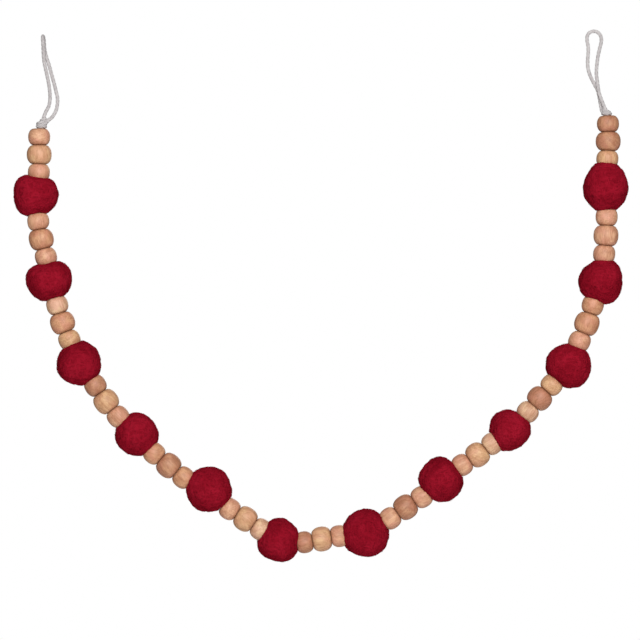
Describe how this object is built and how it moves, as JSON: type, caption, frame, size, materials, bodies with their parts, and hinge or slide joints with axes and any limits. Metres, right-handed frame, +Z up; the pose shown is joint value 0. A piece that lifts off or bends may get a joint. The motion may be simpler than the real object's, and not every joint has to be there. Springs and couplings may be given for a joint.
{
  "type": "felt ball garland",
  "caption": "Strung garland of crimson wool felt balls and threes of turned wood beads on a cotton cord, knotted and looped at each end, hanging as a swag.",
  "frame": {"origin": "where a hook bears, under the top of the left hanging loop", "axes": "+X to the right along the swag as the viewer sees it, +Y away from the viewer, +Z up"},
  "size_m": [0.345, 0.0265, 0.2988],
  "materials": {
    "wool_felt": "matt, short fibres",
    "cotton_cord": "matt, twisted",
    "wood_pale": "smooth, unvarnished",
    "wood_golden": "smooth, unvarnished",
    "wood_peach": "smooth, unvarnished",
    "wood_tan": "smooth, unvarnished",
    "wood_brown": "smooth, unvarnished"
  },
  "bodies": {
    "root": {"felt_ball_01": "wool_felt", "felt_ball_02": "wool_felt", "felt_ball_03": "wool_felt", "felt_ball_04": "wool_felt", "felt_ball_05": "wool_felt", "felt_ball_06": "wool_felt", "felt_ball_07": "wool_felt", "felt_ball_08": "wool_felt", "felt_ball_09": "wool_felt", "felt_ball_10": "wool_felt", "felt_ball_11": "wool_felt", "felt_ball_12": "wool_felt", "wood_bead_01": "wood_peach", "wood_bead_02": "wood_golden", "wood_bead_03": "wood_peach", "wood_bead_04": "wood_peach", "wood_bead_05": "wood_tan", "wood_bead_06": "wood_peach", "wood_bead_07": "wood_pale", "wood_bead_08": "wood_tan", "wood_bead_09": "wood_golden", "wood_bead_10": "wood_brown", "wood_bead_11": "wood_golden", "wood_bead_12": "wood_peach", "wood_bead_13": "wood_tan", "wood_bead_14": "wood_brown", "wood_bead_15": "wood_tan", "wood_bead_16": "wood_peach", "wood_bead_17": "wood_golden", "wood_bead_18": "wood_pale", "wood_bead_19": "wood_brown", "wood_bead_20": "wood_golden", "wood_bead_21": "wood_peach", "wood_bead_22": "wood_peach", "wood_bead_23": "wood_brown", "wood_bead_24": "wood_peach", "wood_bead_25": "wood_peach", "wood_bead_26": "wood_golden", "wood_bead_27": "wood_pale", "wood_bead_28": "wood_pale", "wood_bead_29": "wood_brown", "wood_bead_30": "wood_golden", "wood_bead_31": "wood_peach", "wood_bead_32": "wood_tan", "wood_bead_33": "wood_tan", "wood_bead_34": "wood_peach", "wood_bead_35": "wood_peach", "wood_bead_36": "wood_peach", "wood_bead_37": "wood_golden", "wood_bead_38": "wood_brown", "wood_bead_39": "wood_brown", "stringing_cord": "cotton_cord", "end_knot_left": "cotton_cord", "end_knot_right": "cotton_cord", "hanging_loop_left": "cotton_cord", "hanging_loop_right": "cotton_cord"}
  },
  "joints": []
}
